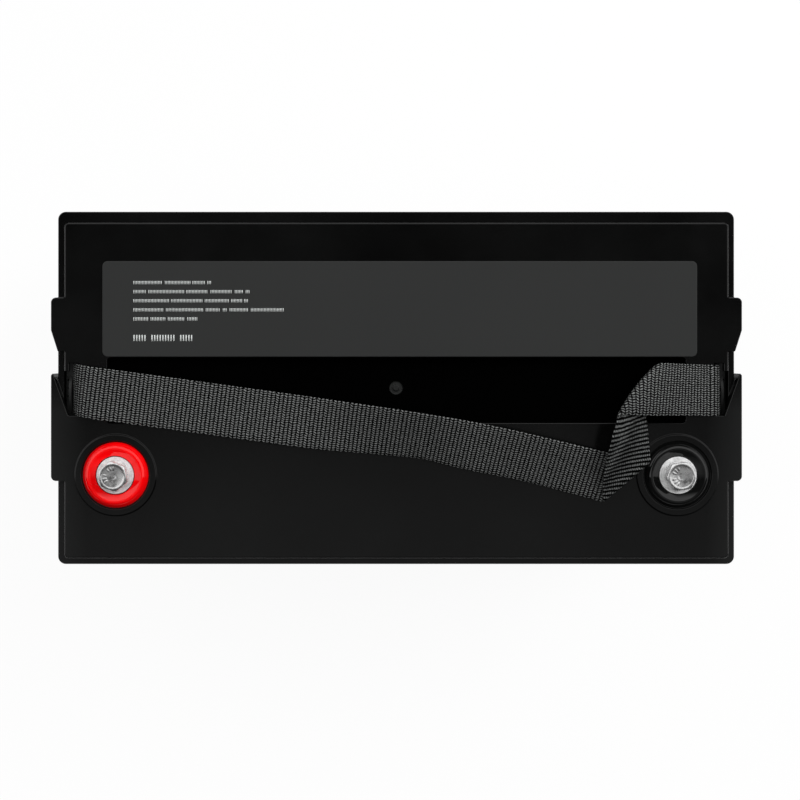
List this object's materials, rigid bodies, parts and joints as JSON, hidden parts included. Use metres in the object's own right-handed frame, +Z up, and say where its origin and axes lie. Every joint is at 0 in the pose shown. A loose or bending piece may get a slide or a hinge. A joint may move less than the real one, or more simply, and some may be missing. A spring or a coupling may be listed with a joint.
{
  "type": "deep cycle battery",
  "caption": "Rectangular sealed deep cycle battery block with a webbing carry strap across its lid and two bolted M8 terminals ringed in red and black.",
  "frame": {"origin": "centre of the base, on the surface that the case stands on", "axes": "+Z up, +X towards the negative terminal's end, +Y towards the long side with the label"},
  "size_m": [0.3348, 0.172, 0.2213],
  "materials": {
    "case_plastic": "moulded satin black",
    "lid_plastic": "moulded satin black",
    "seal_rubber": "matte",
    "label_film": "satin printed film",
    "red_plastic": "glossy",
    "black_plastic": "glossy",
    "white_plastic": "satin",
    "zinc_steel": "bright zinc plated",
    "brass": "machined",
    "cell_can": "film wrapped",
    "bright_aluminium": "bright",
    "insulator": "glass laminate",
    "band_steel": "rolled strip",
    "foam": "closed-cell foam",
    "circuit_board": "solder mask",
    "tinned_lug": "tinned",
    "cable_red": "silicone",
    "cable_black": "silicone",
    "webbing": "woven",
    "anchor_plastic": "moulded"
  },
  "bodies": {
    "battery": {"board_nuts": "zinc_steel", "board_screws": "zinc_steel", "board_tray": "insulator", "busbars": "bright_aluminium", "cable_board_in": "cable_black", "cable_lugs": "tinned_lug", "cable_negative": "cable_black", "cable_positive": "cable_red", "case": "case_plastic", "cell_1": "cell_can", "cell_2": "cell_can", "cell_3": "cell_can", "cell_4": "cell_can", "cell_nuts": "zinc_steel", "cell_spacers": "insulator", "cell_terminals": "bright_aluminium", "end_foam": "foam", "end_plates": "insulator", "floor_foam": "foam", "heat_sink": "bright_aluminium", "label": "label_film", "lead_socket": "white_plastic", "lid": "lid_plastic", "lid_seal": "seal_rubber", "management_board": "circuit_board", "pack_bands": "band_steel", "power_transistors": "black_plastic", "sense_leads": "cable_red", "temperature_sensor": "black_plastic", "terminal_nuts": "zinc_steel", "terminal_o_rings": "seal_rubber", "terminal_post_negative": "brass", "terminal_post_positive": "brass", "terminal_ring_negative": "black_plastic", "terminal_ring_positive": "red_plastic", "top_foam": "foam"},
    "carry_strap": {"strap": "webbing", "strap_anchor_left": "anchor_plastic", "strap_anchor_right": "anchor_plastic"},
    "washers_positive": {"flat_washer_positive": "zinc_steel", "spring_washer_positive": "zinc_steel"},
    "bolt_positive": {"terminal_bolt_positive": "zinc_steel"},
    "washers_negative": {"flat_washer_negative": "zinc_steel", "spring_washer_negative": "zinc_steel"},
    "bolt_negative": {"terminal_bolt_negative": "zinc_steel"}
  },
  "joints": [
    {"name": "handle_lift", "type": "slide", "parent": "battery", "child": "carry_strap", "axis": [0, 0, 1], "range_m": [0, 0.0045]},
    {"name": "bolt_rise_positive", "type": "slide", "parent": "battery", "child": "washers_positive", "axis": [0, 0, 1], "range_m": [0, 0.0141]},
    {"name": "bolt_turn_positive", "type": "hinge", "parent": "washers_positive", "child": "bolt_positive", "pos_m": [-0.1359, -0.042, 0.216], "axis": [0, 0, 1], "range_deg": [0, 4032]},
    {"name": "bolt_rise_negative", "type": "slide", "parent": "battery", "child": "washers_negative", "axis": [0, 0, 1], "range_m": [0, 0.0141]},
    {"name": "bolt_turn_negative", "type": "hinge", "parent": "washers_negative", "child": "bolt_negative", "pos_m": [0.1359, -0.042, 0.216], "axis": [0, 0, 1], "range_deg": [0, 4032]}
  ],
  "couplings": [
    {"joint": "bolt_rise_positive", "follows": "bolt_turn_positive", "m_per_rad": 0.00019894},
    {"joint": "bolt_rise_negative", "follows": "bolt_turn_negative", "m_per_rad": 0.00019894}
  ]
}
